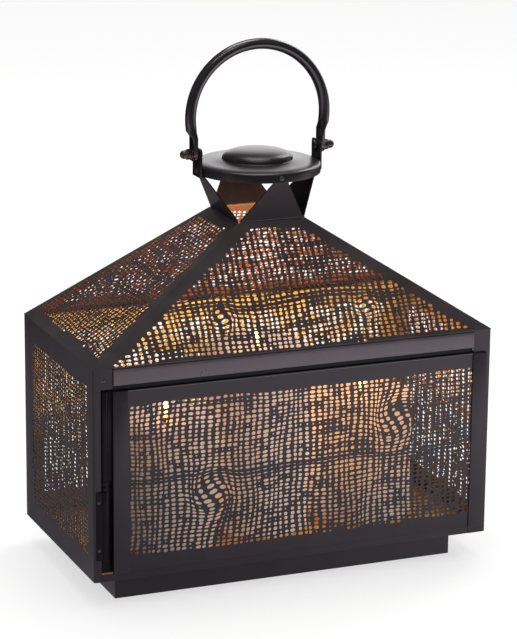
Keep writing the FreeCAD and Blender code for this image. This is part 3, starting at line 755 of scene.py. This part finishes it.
def flatSheet(tree, sheet, paint):
    # The punched grid in the sheet's own plane: x along it, y up from its middle, holes clear of its borders
    wide, high = max(sheet["foot"], sheet["head"]), sheet["height"]
    spare = 2 * pattern["spareCells"]
    middleHalf = (sheet["foot"] + sheet["head"]) / 4
    left, right, foot, head = sheet["borders"]
    whorlA, whorlB = sheet["whorls"]
    values = {
        "Columns": int(wide / pattern["pitchAcross"]) + spare, "Rows": int(high / pattern["pitchUp"]) + spare,
        "Pitch Across": pattern["pitchAcross"], "Pitch Up": pattern["pitchUp"],
        "Hole Share": sheet["share"], "Stretch": pattern["stretch"], "Wander": pattern["wander"],
        "Lean": (sheet["foot"] - sheet["head"]) / 2 / high,
        "Left": left - middleHalf, "Right": middleHalf - right,
        "Foot": foot - high / 2, "Head": high / 2 - head, "Crease": sheet["crease"],
        "Whorl A": whorlA + (0.0,), "Whorl B": whorlB + (0.0,),
        "Whorl Size": sheet.get("whorlSize", pattern["whorlSize"]),
        "Seed": sheet["seed"], "Corners": pattern["corners"], "Finish": paint,
    }
    holder = newObject("sheetMaker", bpy.data.meshes.new("sheetMaker"))
    maker = holder.modifiers.new("punch", "NODES")
    maker.node_group = tree
    for item in tree.interface.items_tree:
        if item.in_out == "INPUT":
            maker[item.identifier] = values[item.name]
    return evaluated(holder)


def punchedPanel(tree, sheet, paints):
    # Cut the grid to the sheet's outline, give it its thickness, and stand it in its place
    mesh = flatSheet(tree, sheet, paints[0])
    half, high = sheet["foot"] / 2, sheet["height"]
    lean = (sheet["foot"] - sheet["head"]) / 2 / high
    shell = bmesh.new()
    shell.from_mesh(mesh)
    slope = Vector((1, lean, 0)).normalized()
    cuts = [
        (Vector((0, -high / 2, 0)), Vector((0, -1, 0))),
        (Vector((0, high / 2, 0)), Vector((0, 1, 0))),
        (Vector((half, -high / 2, 0)), slope),
        (Vector((-half, -high / 2, 0)), Vector((-slope.x, slope.y, 0))),
    ]
    for place, outward in cuts:
        bmesh.ops.bisect_plane(shell, geom=shell.faces[:] + shell.edges[:] + shell.verts[:], dist=cutReach,
                               plane_co=place, plane_no=outward, clear_outer=True)
    made = bmesh.ops.extrude_face_region(shell, geom=shell.faces[:], use_keep_orig=True)
    for item in made["geom"]:
        if isinstance(item, bmesh.types.BMVert):
            limit = half - lean * (item.co.y + high / 2) - sheet["mitre"]
            item.co.x = max(-limit, min(limit, item.co.x))
            item.co.z = -pattern["thickness"]
    bmesh.ops.recalc_face_normals(shell, faces=shell.faces)
    for face in shell.faces:
        # the inside, and the cut edges of the holes, take the inner paint
        middle = face.calc_center_median()
        edge = min(half - lean * (middle.y + high / 2) - abs(middle.x), high / 2 - abs(middle.y))
        outerFrom = 0.5 if edge > pattern["rim"] else -0.5
        face.material_index = 1 if face.normal.z < outerFrom else 0
    across, up = sheet["across"].normalized(), sheet["up"].normalized()
    outward = across.cross(up)
    place = Matrix((across, up, outward)).transposed().to_4x4()
    shell.transform(Matrix.Translation(sheet["origin"] + up * high / 2) @ place)
    result = bpy.data.meshes.new("panel")
    shell.to_mesh(result)
    shell.free()
    for paint in paints:
        result.materials.append(paint)
    return result


# Shared levels and faces, read from the frame

def boxOf(node):
    low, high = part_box(node)
    return low.copy(), high.copy()


def middleOf(low, high):
    return (low.x + high.x) / 2, (low.y + high.y) / 2


leftBox, rightBox, backBox = boxOf("left_side_panel"), boxOf("right_side_panel"), boxOf("back_panel")
halfWidth = rightBox[1].x
frontFace, backFace = leftBox[0].y, backBox[1].y
bodyFoot, eave = leftBox[0].z, leftBox[1].z
depthMiddle = (frontFace + backFace) / 2
halfDepth = (backFace - frontFace) / 2
sheetDepth = 1.0 * mm
bendRadius = 0.8 * mm
upward = Vector((0, 0, 1))

tree = punchedTree()
outer = blackenedTin("tinOutside", rough=0.28, deep=(0.0110, 0.0070, 0.0110, 1),
                     light=(0.0210, 0.0140, 0.0200, 1))
# Tin painted lighter than the rest as painted light on the header's face, and as a painted highlight line on
# the door's hem
paintedLitTin = blackenedTin("tinPaintedLit", rough=0.26, gloss=0.7, deep=(0.0850, 0.0700, 0.0840, 1),
                           light=(0.1080, 0.0900, 0.1060, 1))
# One inside finish in several copies, each painted with its own candlelight: the back and the back petal
# painted lit, the roof painted red-brown, the floor painted bright
inner = copperedInside("insideWall", deep=(0.105, 0.066, 0.040, 1), light=(0.185, 0.118, 0.070, 1))
backInsidePaintedLit = copperedInside("insideBackPaintedLit", deep=(0.250, 0.190, 0.095, 1), light=(0.380, 0.290, 0.150, 1))
roofInsidePaintedLit = copperedInside("insideRoofPaintedLit", deep=(0.066, 0.024, 0.019, 1), light=(0.118, 0.042, 0.033, 1))
neckInsidePaintedLit = copperedInside("insideNeckPaintedLit", deep=(0.126, 0.088, 0.082, 1), light=(0.224, 0.157, 0.147, 1))
floorInsidePaintedLit = copperedInside("insideFloorPaintedLit", deep=(0.620, 0.400, 0.170, 1), light=(0.850, 0.580, 0.270, 1),
                            metal=0.85)
# The roof's lacquer is painted lighter and warmer than the walls', as painted light from above and a painted
# warm reflection
roofTinPaintedLit = blackenedTin("roofTinPaintedLit", rough=0.30, deep=(0.0290, 0.0215, 0.0235, 1),
                       light=(0.0460, 0.0345, 0.0345, 1))
capPaint = blackenedTin("capLacquer", rough=0.31, grain=0.0, wear=0.1, sheen=(1, 0.935, 0.90, 1),
                        deep=(0.0080, 0.0065, 0.0090, 1), light=(0.0140, 0.0115, 0.0150, 1))
barPaint = blackenedTin("barLacquer", rough=0.25, grain=0.03, gloss=0.95, wear=0.15,
                        deep=(0.0080, 0.0065, 0.0085, 1), light=(0.0160, 0.0130, 0.0160, 1))
smallPaint = blackenedTin("fixingLacquer", rough=0.19, grain=0.15, gloss=0.85,
                          deep=(0.0140, 0.0110, 0.0120, 1), light=(0.0380, 0.0300, 0.0290, 1))
# Black of the hinge, made darker and duller as painted shade for its recess; the same paint is painted shade
# in the hinge recess, behind the header and inside the side petals
hingeBlackAndPaintedShade = blackenedTin("hingeLacquerAndPaintedShade", rough=0.26, grain=0.3, gloss=0.16,
                          deep=(0.0030, 0.0025, 0.0030, 1), light=(0.0080, 0.0065, 0.0080, 1))
bothPaints = (outer, inner)


# The pieces. A sheet's borders are left, right, foot and head, and its whorls are from its middle.

def alongX(a, b, w):
    return Vector((w, a, b))


def doorSheet():
    low, high = boxOf("door_screen")
    sheet = {
        "foot": high.x - low.x, "head": high.x - low.x, "height": high.z - low.z,
        "borders": (10.7 * mm, 10.2 * mm, 10.6 * mm, 11.0 * mm),
        "origin": Vector(((low.x + high.x) / 2, low.y, low.z)), "across": Vector((1, 0, 0)), "up": upward,
        "crease": -1.5 * mm, "whorls": [(-71 * mm, -16 * mm), (73 * mm, 23 * mm)], "whorlSize": 11 * mm,
        "seed": 3.1, "mitre": 0.0, "share": 0.695,
    }
    # a rolled hem along the door's top edge, in the lighter tin, as a painted highlight line
    hem = {"lap": 0.9 * mm, "proud": 0.08 * mm, "bend": 0.35 * mm, "depth": 0.25 * mm, "steps": 4}
    face, foot = low.y - hem["proud"], high.z - hem["lap"]
    rim = [(face, foot), (face, high.z), (high.y, high.z), (high.y, foot)]
    strip = foldedPlate("hem", rim, [(low.x, high.x)] * 4, hem["bend"], hem["depth"], alongX,
                        (paintedLitTin, paintedLitTin), hem["steps"])
    parts = [punchedPanel(tree, sheet, bothPaints), strip]
    setOut("doorSheet", joined("doorSheet", parts), "door", ["door_screen"])


def sideWall(side, name, node, seed, share):
    # The wall runs from the rear seam to the front corner, where it is folded round into a flange
    edge = {
        "frontBorder": 11 * mm, "rearBorder": 2.5 * mm, "border": 15 * mm,
        "flange": 14.5 * mm, "notch": 9.0 * mm, "notchHead": 163.5 * mm,
        "lip": 6.0 * mm, "seam": 14.8 * mm, "seamFoot": 7 * mm,
        "recess": 2.7 * mm, "recessReach": 16 * mm, "recessFoot": 5.7 * mm,
    }
    turn = bendRadius + sheetDepth
    rear = backFace - edge["seam"]
    start = frontFace + turn
    long = rear - start
    ends = (edge["rearBorder"], edge["frontBorder"] - turn)
    wall = {
        "foot": long, "head": long, "height": eave - bodyFoot,
        "borders": (ends if side < 0 else ends[::-1]) + (edge["border"], edge["border"]),
        "origin": Vector((side * halfWidth, (start + rear) / 2, bodyFoot)), "across": Vector((0, side, 0)),
        "up": upward, "crease": 6 * mm, "seed": seed, "mitre": 0.0, "share": share,
        "whorls": [(18 * mm * side, 24 * mm), (-30 * mm * side, -32 * mm)],
    }
    parts = [punchedPanel(tree, wall, bothPaints)]

    def place(a, b, w):
        return Vector((side * a, b, w))

    def corner(reach, foot, head):
        path = [(halfWidth, start), (halfWidth, frontFace), (halfWidth - reach, frontFace)]
        return foldedPlate("fold", path, [(foot, head)] * 3, bendRadius, sheetDepth, place, bothPaints)

    if side < 0:
        # cut back beside the hinge, with a strip set back behind it, painted black as painted shade in the
        # recess
        parts.append(corner(edge["flange"] - edge["notch"], bodyFoot, edge["notchHead"]))
        parts.append(corner(edge["flange"], edge["notchHead"], eave))
        recessFace = frontFace + edge["recess"]
        low = (-halfWidth + sheetDepth / 2, recessFace, bodyFoot + edge["recessFoot"])
        high = (-halfWidth + edge["recessReach"], recessFace + sheetDepth, edge["notchHead"])
        parts.append(plainBox(low, high, hingeBlackAndPaintedShade))
    else:
        parts.append(corner(edge["flange"], bodyFoot, eave))
    inside = halfWidth - sheetDepth
    left, right = sorted((side * inside, side * (inside - edge["lip"])))
    parts.append(plainBox((left, frontFace + 2 * sheetDepth, eave - sheetDepth), (right, rear, eave), inner))
    left, right = sorted((side * inside, side * (inside - sheetDepth)))
    parts.append(plainBox((left, rear - edge["lip"], bodyFoot + edge["seamFoot"]),
                          (right, backFace - 2 * sheetDepth, eave - 2 * sheetDepth), inner))
    setOut(name, joined(name, parts), "lantern_body", [node])


def backWall():
    edge = {"flange": 14.6 * mm, "lip": 6 * mm, "endBorder": 12 * mm, "border": 15 * mm}
    reach = halfWidth - bendRadius - sheetDepth
    wall = {
        "foot": 2 * reach, "head": 2 * reach, "height": eave - bodyFoot,
        "borders": (edge["endBorder"], edge["endBorder"], edge["border"], edge["border"]),
        "origin": Vector((0, backFace, bodyFoot)), "across": Vector((-1, 0, 0)), "up": upward,
        "crease": -4 * mm, "seed": 17.6, "mitre": 0.0, "share": 0.70,
        "whorls": [(-84 * mm, 22 * mm), (46 * mm, -26 * mm)],
    }
    parts = [punchedPanel(tree, wall, (outer, backInsidePaintedLit))]
    path = [(reach, backFace), (halfWidth, backFace), (halfWidth, backFace - edge["flange"])]
    for side in (-1, 1):
        parts.append(foldedPlate("fold", path, [(bodyFoot, eave)] * 3, bendRadius, sheetDepth,
                                 lambda a, b, w, side=side: Vector((side * a, b, w)), bothPaints))
    lip = edge["lip"]
    parts.append(plainBox((-reach + lip, backFace - lip, eave - sheetDepth),
                          (reach - lip, backFace - sheetDepth, eave), inner))
    setOut("backWall", joined("backWall", parts), "lantern_body", ["back_panel"])


roof = {
    "rise": 83.4 * mm,
    "topWidth": 52 * mm,
    "topDepth": 56 * mm,
    "border": 9 * mm,
    "frontFoot": 0.3 * mm,
    "petalRise": 30.6 * mm,
    "petalTip": 12 * mm,
    "petalReach": 44.7 * mm,
    "tab": 7 * mm,
    "relief": 1.5 * mm,
    "mitre": 0.55 * mm,
    "crease": 1.2 * mm,  # inner radius of the fold under each petal
}

# Front, right, back and left. Their borders are left, right and head.
roofSheets = {
    "roofFront": {"node": "roof_front", "seed": 23.4, "whorls": [(-52 * mm, -20 * mm), (60 * mm, -22 * mm)],
                  "borders": (13 * mm, 13.8 * mm, 5.5 * mm)},
    "roofRight": {"node": "roof_right", "seed": 27.7, "whorls": [(-20 * mm, -18 * mm), (24 * mm, 10 * mm)],
                  "borders": (7 * mm, 8 * mm, 9 * mm)},
    "roofBack": {"node": "roof_back", "seed": 31.8, "whorls": [(40 * mm, -16 * mm), (-30 * mm, 12 * mm)],
                 "borders": (13 * mm, 13 * mm, 6.5 * mm)},
    "roofLeft": {"node": "roof_left", "seed": 36.5, "whorls": [(-24 * mm, -16 * mm), (16 * mm, 14 * mm)],
                 "borders": (4 * mm, 8 * mm, 9 * mm)},
}


def roofPanel(turn, name, node, seed, whorls, borders):
    # turn counts quarter turns from the front
    eaveHalf, reach = halfWidth, halfDepth
    topHalf, topReach = roof["topWidth"] / 2, roof["topDepth"] / 2
    if turn % 2 == 1:
        eaveHalf, reach, topHalf, topReach = reach, eaveHalf, topReach, topHalf
    run = reach - topReach
    slope = math.hypot(run, roof["rise"])
    spin = Matrix.Rotation(math.pi / 2 * turn, 3, "Z")
    middle = Vector((0, depthMiddle, 0))
    petalRun = roof["petalReach"] - topReach
    foldTurn = math.pi - math.atan2(roof["rise"], run) - math.atan2(roof["petalRise"], petalRun)
    back = roof["crease"] * math.tan(foldTurn / 2)
    height = slope - back
    headHalf = topHalf + (eaveHalf - topHalf) * back / slope
    foot = roof["frontFoot"] if turn == 0 else roof["border"]
    wall = {
        "foot": 2 * eaveHalf, "head": 2 * headHalf, "height": height,
        "borders": borders[:2] + (foot, borders[2] - back),
        "origin": spin @ Vector((0, -reach, 0)) + middle + Vector((0, 0, eave)),
        "across": spin @ Vector((1, 0, 0)), "up": spin @ Vector((0, run, roof["rise"])).normalized(),
        "crease": -12 * mm, "seed": seed, "mitre": roof["mitre"], "share": 0.70, "whorls": whorls,
    }
    panel = punchedPanel(tree, wall, (roofTinPaintedLit, roofInsidePaintedLit))
    topLevel = eave + roof["rise"]
    tipLevel = topLevel + roof["petalRise"]
    flatEnd = Vector((-reach, eave)) + Vector((run, roof["rise"])).normalized() * height
    path = [tuple(flatEnd), (-topReach, topLevel), (-roof["petalReach"], tipLevel),
            (-roof["petalReach"], tipLevel + roof["tab"])]
    base, tip = topHalf - roof["relief"], roof["petalTip"] / 2
    spans = [(-base, base), (-base, base), (-tip, tip), (-tip, tip)]
    # inside, the back petal is painted lit by the candles, and the other petals are painted black as painted
    # shade
    petal = foldedPlate("petal", path, spans, roof["crease"], sheetDepth,
                        lambda a, b, w: spin @ Vector((w, a, 0)) + middle + Vector((0, 0, b)),
                        (outer, neckInsidePaintedLit if turn == 2 else hingeBlackAndPaintedShade))
    setOut(name, joined(name, [panel, petal]), "lantern_body", [node])


def floorPan():
    # lacquered outside, coppery where the candles stand, painted bright there as painted candlelight
    pan = {"softened": 0.35 * mm, "sill": 12 * mm}
    mesh = softened("floor_pan", pan["softened"], outer)
    mesh.materials.append(floorInsidePaintedLit)
    for face in mesh.polygons:
        if face.normal.z > 0.5 and face.center.y > frontFace + pan["sill"]:
            face.material_index = 1
    setOut("floorPan", mesh, "lantern_body", ["floor_pan"])


def frontHeader():
    # Proud strip over the door, rolled over at its top edge, with a leg inside that the door stops on
    header = {
        "reach": 140.3 * mm, "strip": 12.7 * mm, "leg": 15.6 * mm, "bend": 2.2 * mm, "steps": 8,
        "stopLeft": -143.2 * mm, "stopRight": 153 * mm,
    }
    low, high = boxOf("front_header")
    legFoot = high.z - header["leg"]
    path = [(low.y, high.z - header["strip"]), (low.y, high.z), (high.y, high.z), (high.y, legFoot)]
    spans = [(-header["reach"], header["reach"])] * 4
    # the face takes the lighter tin as painted light; the inside and the stop are painted black as painted
    # shade in the gap
    strip = foldedPlate("header", path, spans, header["bend"], sheetDepth, alongX, (paintedLitTin, hingeBlackAndPaintedShade),
                        header["steps"])
    stop = plainBox((header["stopLeft"], high.y - sheetDepth, low.z), (header["stopRight"], high.y, legFoot),
                    hingeBlackAndPaintedShade)
    setOut("headerStrip", joined("headerStrip", [strip, stop]), "lantern_body", ["front_header"])


def lid():
    low, high = boxOf("cap")
    shape = {
        "roll": 9 * mm, "drop": 2.6 * mm, "skirt": 8 * mm, "crown": 0.8 * mm, "dome": 26 * mm,
        "foot": 1.0 * mm,
        "bulge": 2.45,  # 2 is an ellipse, more is squarer
        "rollSteps": 10, "domeSteps": 24, "turnSteps": 128,
    }

    def section(inset):
        rim = high.x - inset
        top = low.z + shape["skirt"] - inset
        drop, roll, foot = shape["drop"] - inset * 0.4, shape["roll"], shape["foot"]
        crown = top + shape["crown"]
        dome = shape["dome"] - inset
        domeFoot = crown + foot * 0.5
        points = [(rim, low.z)]
        for step in range(shape["rollSteps"] + 1):
            angle = math.pi / 2 * step / shape["rollSteps"]
            points.append((rim - roll * (1 - math.cos(angle)), top - drop * (1 - math.sin(angle))))
        points += [(dome + foot, crown), (dome + foot * 0.3, crown + foot * 0.25)]
        for step in range(shape["domeSteps"] + 1):
            level = math.sin(math.pi / 2 * step / shape["domeSteps"])
            share = (1 - level ** shape["bulge"]) ** (1 / shape["bulge"])
            points.append((dome * share, domeFoot + (high.z - inset - domeFoot) * level))
        return points

    outline = section(0) + section(sheetDepth)[::-1]
    mesh = spun("lid", outline, shape["turnSteps"], capPaint, middleOf(low, high), 40)
    setOut("lid", mesh, "lantern_body", ["cap"])


def candleBody(name, node, seed, waxPaint):
    wax = {
        # in from the side and up from the foot
        "foot": [(1.2 * mm, 0.0), (0.3 * mm, 0.4 * mm), (0.0, 1.4 * mm)],
        "rows": 14,
        "rim": 3.0 * mm, "rimSteps": 6,
        "pool": 30 * mm, "poolSteps": 10, "poolDrop": 0.25 * mm, "dip": 4.5 * mm,
        "edge": 2.2 * mm, "edgeDrop": 0.1 * mm,
        "wickHole": 1.15 * mm, "wickDepth": 30 * mm,
        "sink": 0.5 * mm,  # how far the sides are hollowed
        "melt": 1.1 * mm,  # how far the rim has run down
        "meltFrom": 0.9,  # share of the height above which it has
        "meltInner": 20 * mm, "meltWidth": 14 * mm,  # it grows from this far out, over this width
        "turnSteps": 96,
    }
    low, high = boxOf(node)
    centre, radius, top = middleOf(low, high), (high.x - low.x) / 2, high.z
    outline = [(0, low.z)] + [(radius - inwards, low.z + up) for inwards, up in wax["foot"]]
    sideFoot, sideHead = outline[-1][1], top - wax["rim"]
    for step in range(1, wax["rows"]):
        outline.append((radius, sideFoot + (sideHead - sideFoot) * step / wax["rows"]))
    for step in range(wax["rimSteps"] + 1):
        angle = math.pi / 2 * step / wax["rimSteps"]
        outline.append((radius - wax["rim"] * (1 - math.cos(angle)),
                        top - wax["rim"] * (1 - math.sin(angle))))
    outline.append((wax["pool"] + wax["edge"], top - wax["edgeDrop"]))
    poolTop = top - wax["poolDrop"]
    for step in range(wax["poolSteps"]):
        share = 1 - step / wax["poolSteps"]
        outline.append((wax["pool"] * share + wax["wickHole"] * (1 - share),
                        poolTop - wax["dip"] * (1 - share * share)))
    outline.append((wax["wickHole"], poolTop - wax["dip"]))
    outline.append((wax["wickHole"], top - wax["wickDepth"]))
    outline.append((0, top - wax["wickDepth"]))
    mesh = spun(name, outline, wax["turnSteps"], waxPaint, centre, 50)
    for vertex in mesh.vertices:
        # a melted rim and slightly hollowed sides, never outside the pillar
        dx, dy = vertex.co.x - centre[0], vertex.co.y - centre[1]
        out = math.hypot(dx, dy)
        if out < 2 * wax["wickHole"]:
            continue
        angle = math.atan2(dy, dx) + seed
        up = (vertex.co.z - low.z) / (top - low.z)
        wave = 0.5 + 0.25 * math.sin(3 * angle + seed) + 0.25 * math.sin(7 * angle + 2 * seed)
        sink = wax["sink"] * (0.5 + 0.5 * math.sin(2 * angle + 6 * up + seed)) * (out / radius)
        vertex.co.x -= dx / out * sink
        vertex.co.y -= dy / out * sink
        if up > wax["meltFrom"]:
            depth = (up - wax["meltFrom"]) / (1 - wax["meltFrom"])
            outwards = max(0.0, min(1.0, (out - wax["meltInner"]) / wax["meltWidth"]))
            vertex.co.z -= wax["melt"] * wave * depth * outwards
    setOut(name, mesh, "lantern_body", [node])


def flameDrop(name, node):
    drop = {"levels": 18, "taper": 0.45, "fullness": 0.9, "share": 0.96, "turnSteps": 32}
    low, high = boxOf(node)
    tall, wide = high.z - low.z, (high.x - low.x) / 2
    widths, levels = [], []
    for step in range(drop["levels"] + 1):
        angle = math.pi * step / drop["levels"]
        narrowing = 1 - drop["taper"] + drop["taper"] * math.cos(angle / 2)
        widths.append(math.sin(angle) * narrowing ** drop["fullness"])
        levels.append(low.z + tall * (1 - math.cos(angle)) / 2)
    widest = wide * drop["share"] / max(widths)
    outline = [(0.0, levels[0])] + [(width * widest, level) for width, level in zip(widths, levels)][1:-1]
    outline.append((0.0, levels[-1]))
    mesh = spun(name, outline, drop["turnSteps"], flameFinish(low.z, tall), middleOf(low, high), 180)
    setOut(name, mesh, "lantern_body", [node])


# Each candle's own shape, and its painted candlelight: warm within reach of the flame, with painted shade
# towards its left side
candles = {
    "left": {"seed": 0.4, "reach": 26 * mm, "level": 0.80, "paintedShadeClearsAt": 0.45,
             "warm": (0.95, 0.56, 0.16, 1), "shaded": (0.07, 0.042, 0.030, 1)},
    "middle": {"seed": 2.3, "reach": 40 * mm, "level": 1.14, "paintedShadeClearsAt": 0.10,
               "warm": (1.10, 0.74, 0.44, 1), "shaded": (0.20, 0.100, 0.042, 1)},
    "right": {"seed": 4.1, "reach": 112 * mm, "level": 0.78, "paintedShadeClearsAt": 0.25,
              "warm": (1.30, 0.56, 0.15, 1), "shaded": (0.16, 0.076, 0.032, 1)},
}
flameLight = {"power": 0.75, "colour": (1.0, 0.60, 0.22), "size": 6 * mm}
flameLift = Vector((0, 0, 6 * mm))


def litCandle(place, candle):
    low, high = boxOf("flame_" + place)
    flame = (low + high) / 2
    paint = waxPaintedCandlelit("wax_" + place, tuple(flame), candle)
    candleBody("wax_" + place, "candle_" + place, candle["seed"], paint)
    flameDrop("light_" + place, "flame_" + place)
    return lamp("candlelight_" + place, "POINT", flame + flameLift, **flameLight)


cameraSetup()
studio()

doorSheet()
sideWall(-1, "leftWall", "left_side_panel", seed=8.2, share=0.67)
sideWall(1, "rightWall", "right_side_panel", seed=12.9, share=0.76)
backWall()
print("walls punched")
for turn, (name, values) in enumerate(roofSheets.items()):
    roofPanel(turn, name, **values)
print("roof punched")
floorPan()
frontHeader()
lid()

# The flames light the tin. The wax's candlelight is painted into its emission, so it is left out of what they
# reach.
candleLamps = [litCandle(place, candle) for place, candle in candles.items()]
spared = bpy.data.collections.new("spared")
for place in candles:
    spared.objects.link(bpy.data.objects["wax_" + place])
for item in spared.collection_objects:
    item.light_linking.link_state = "EXCLUDE"
for holder in candleLamps:
    holder.light_linking.receiver_collection = spared
print("candles lit")

softPieces = {
    "plinth": (outer, 0.5 * mm, "tin_sheet"),
    "door_left_stile": (outer, 0.35 * mm, "tin_sheet"),
    "door_right_stile": (outer, 0.35 * mm, "tin_sheet"),
    "ear_left": (capPaint, 0.3 * mm, "cap_sheet"),
    "ear_right": (capPaint, 0.3 * mm, "cap_sheet"),
    "bail_bolts": (smallPaint, 0.2 * mm, "fasteners"),
    "bail_washers": (smallPaint, 0.15 * mm, "fasteners"),
    "acorn_nuts": (smallPaint, 0.2 * mm, "fasteners"),
    "hinge_door_leaf": (hingeBlackAndPaintedShade, 0.15 * mm, "hinge_steel"),
    "hinge_post_leaf": (hingeBlackAndPaintedShade, 0.15 * mm, "hinge_steel"),
    "hinge_pin": (hingeBlackAndPaintedShade, 0.2 * mm, "hinge_steel"),
    "hinge_washers": (hingeBlackAndPaintedShade, 0.3 * mm, "hinge_steel"),
    "bail_handle": (barPaint, 0.0, "handle_bar"),
    "header_rivet": (smallPaint, 0.0, "fasteners"),
    "cap_rivets": (smallPaint, 0.0, "fasteners"),
    "door_leaf_rivets": (smallPaint, 0.0, "fasteners"),
    "hinge_leaf_rivets": (smallPaint, 0.0, "fasteners"),
    "door_magnet": (magnetFinish(), 0.3 * mm, "magnet"),
}
bodyOf = {node: body for body, nodes in frame["record"]["behaviour"]["bodies"].items() for node in nodes}
for node, (paint, width, slot) in softPieces.items():
    setOut("soft_" + node, softened(node, width, paint), bodyOf[node], [node])
wickPaint = wickFinish()
for place in candles:
    for holder in frame["nodes"]["wick_" + place].material_slots:
        holder.material = wickPaint
print("small pieces finished")
